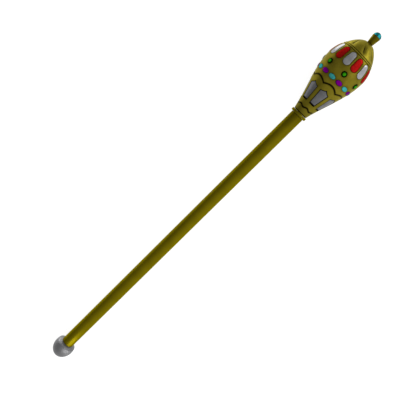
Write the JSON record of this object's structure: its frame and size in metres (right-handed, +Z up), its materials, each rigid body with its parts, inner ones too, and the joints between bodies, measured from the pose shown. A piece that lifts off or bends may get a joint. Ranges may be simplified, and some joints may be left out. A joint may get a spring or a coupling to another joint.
{
  "type": "sceptre",
  "caption": "Ceremonial sceptre with a round gilt shaft, a silver ball end and a club-shaped gilt head set with silver panels and coloured stones, under a swirled crown and a tip stone.",
  "frame": {"origin": "middle of the footprint, on the surface that the sceptre lies on", "axes": "+X runs along the sceptre from the ball to the tip stone, +Z is up"},
  "size_m": [0.8366, 0.078, 0.0771],
  "materials": {
    "gilt": "dark olive-gold gilding, satin, worn a little brighter on the high places",
    "pale_gilt": "a slightly brighter polished gilding on the collar",
    "ball_silver": "satin silver, softly tarnished",
    "panel_silver": "satin silver plate, darker towards its edges",
    "inlay_silver": "brighter satin silver with a soft crown",
    "red_enamel": "deep glossy red enamel",
    "green_stone": "polished green stone, almost black at its rim",
    "purple_stone": "polished deep purple stone",
    "turquoise_stone": "polished opaque turquoise",
    "blue_stone": "faceted blue-green stone, glossy"
  },
  "bodies": {
    "root": {"shaft": "gilt", "ball": "ball_silver", "collar": "pale_gilt", "head": "gilt", "peg": "gilt", "tip_stone": "blue_stone", "silver_panel_1": "panel_silver", "silver_panel_2": "panel_silver", "silver_panel_3": "panel_silver", "silver_panel_4": "panel_silver", "silver_panel_5": "panel_silver", "silver_panel_6": "panel_silver", "silver_panel_7": "panel_silver", "green_stone_1": "green_stone", "green_stone_2": "green_stone", "green_stone_3": "green_stone", "green_stone_4": "green_stone", "green_stone_5": "green_stone", "green_stone_6": "green_stone", "green_stone_7": "green_stone", "purple_stone_1": "purple_stone", "purple_stone_2": "purple_stone", "purple_stone_3": "purple_stone", "purple_stone_4": "purple_stone", "purple_stone_5": "purple_stone", "purple_stone_6": "purple_stone", "purple_stone_7": "purple_stone", "turquoise_stone_1": "turquoise_stone", "turquoise_stone_2": "turquoise_stone", "turquoise_stone_3": "turquoise_stone", "turquoise_stone_4": "turquoise_stone", "turquoise_stone_5": "turquoise_stone", "turquoise_stone_6": "turquoise_stone", "turquoise_stone_7": "turquoise_stone", "red_inlay_1": "red_enamel", "red_inlay_2": "red_enamel", "red_inlay_3": "red_enamel", "red_inlay_4": "red_enamel", "red_inlay_5": "red_enamel", "red_inlay_6": "red_enamel", "red_inlay_7": "red_enamel", "silver_inlay_1": "inlay_silver", "silver_inlay_2": "inlay_silver", "silver_inlay_3": "inlay_silver", "silver_inlay_4": "inlay_silver", "silver_inlay_5": "inlay_silver", "silver_inlay_6": "inlay_silver", "silver_inlay_7": "inlay_silver"}
  },
  "joints": []
}
